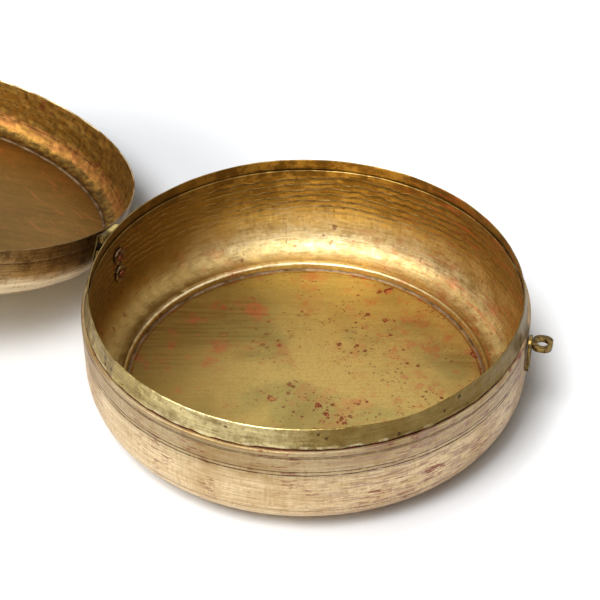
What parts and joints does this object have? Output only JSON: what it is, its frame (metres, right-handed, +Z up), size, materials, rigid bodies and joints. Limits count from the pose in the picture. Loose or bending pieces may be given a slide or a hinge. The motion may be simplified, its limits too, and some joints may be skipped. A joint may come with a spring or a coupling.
{
  "type": "hinged round brass box",
  "caption": "Round brass box with a deep turned base, soldered collar, shallow lid on a riveted strap hinge, and an eye with a link for a hasp.",
  "frame": {"origin": "centre of the base's underside, on the surface it stands on", "axes": "+Z up along the axis of the base, -X towards the hinge, +X towards the side with the eye"},
  "size_m": [0.6242, 0.3004, 0.149],
  "materials": {
    "outside": "turned brass, worn and warm, with fine lathe lines",
    "floor": "olive-gold brass with copper-red spots",
    "collar": "yellow brass, hand hammered and pitted",
    "lid": "brown patinated brass",
    "fitting": "dark olive patinated brass",
    "knuckle": "bright filed brass",
    "copper": "reddish copper, peened ends"
  },
  "bodies": {
    "base": {"base_wall": "outside", "base_floor": "floor", "collar_band": "collar", "base_hinge_strap": "knuckle", "hinge_pin": "copper", "base_hinge_rivet_upper": "copper", "base_hinge_rove_upper": "knuckle", "base_hinge_rivet_lower": "copper", "base_hinge_rove_lower": "knuckle", "staple_eye": "fitting", "staple_rove": "fitting"},
    "lid": {"lid_wall": "lid", "lid_top": "lid", "lid_hinge_strap": "knuckle", "lid_hinge_rivet_left": "copper", "lid_hinge_rove_left": "knuckle", "lid_hinge_rivet_right": "copper", "lid_hinge_rove_right": "knuckle", "hasp_bracket": "fitting", "hasp_pin": "fitting", "hasp_rivet_left": "copper", "hasp_rivet_right": "copper"},
    "hasp": {"hasp_strap": "fitting"},
    "link": {"staple_link": "fitting"}
  },
  "joints": [
    {"name": "lid_hinge", "type": "hinge", "parent": "base", "child": "lid", "pos_m": [-0.1546, 0, 0.0753], "axis": [0, 0.9903, -0.1392], "range_deg": [0, 170.8]},
    {"name": "hasp_swing", "type": "hinge", "parent": "lid", "child": "hasp", "pos_m": [-0.4569, 0.03756, 0.10574], "axis": [0.2004, 0.9319, -0.3025], "range_deg": [0, 180]},
    {"name": "link_swing", "type": "hinge", "parent": "base", "child": "link", "pos_m": [0.14655, 0.03383, 0.066], "axis": [0.9744, 0.225, 0], "range_deg": [-85, 85]}
  ]
}
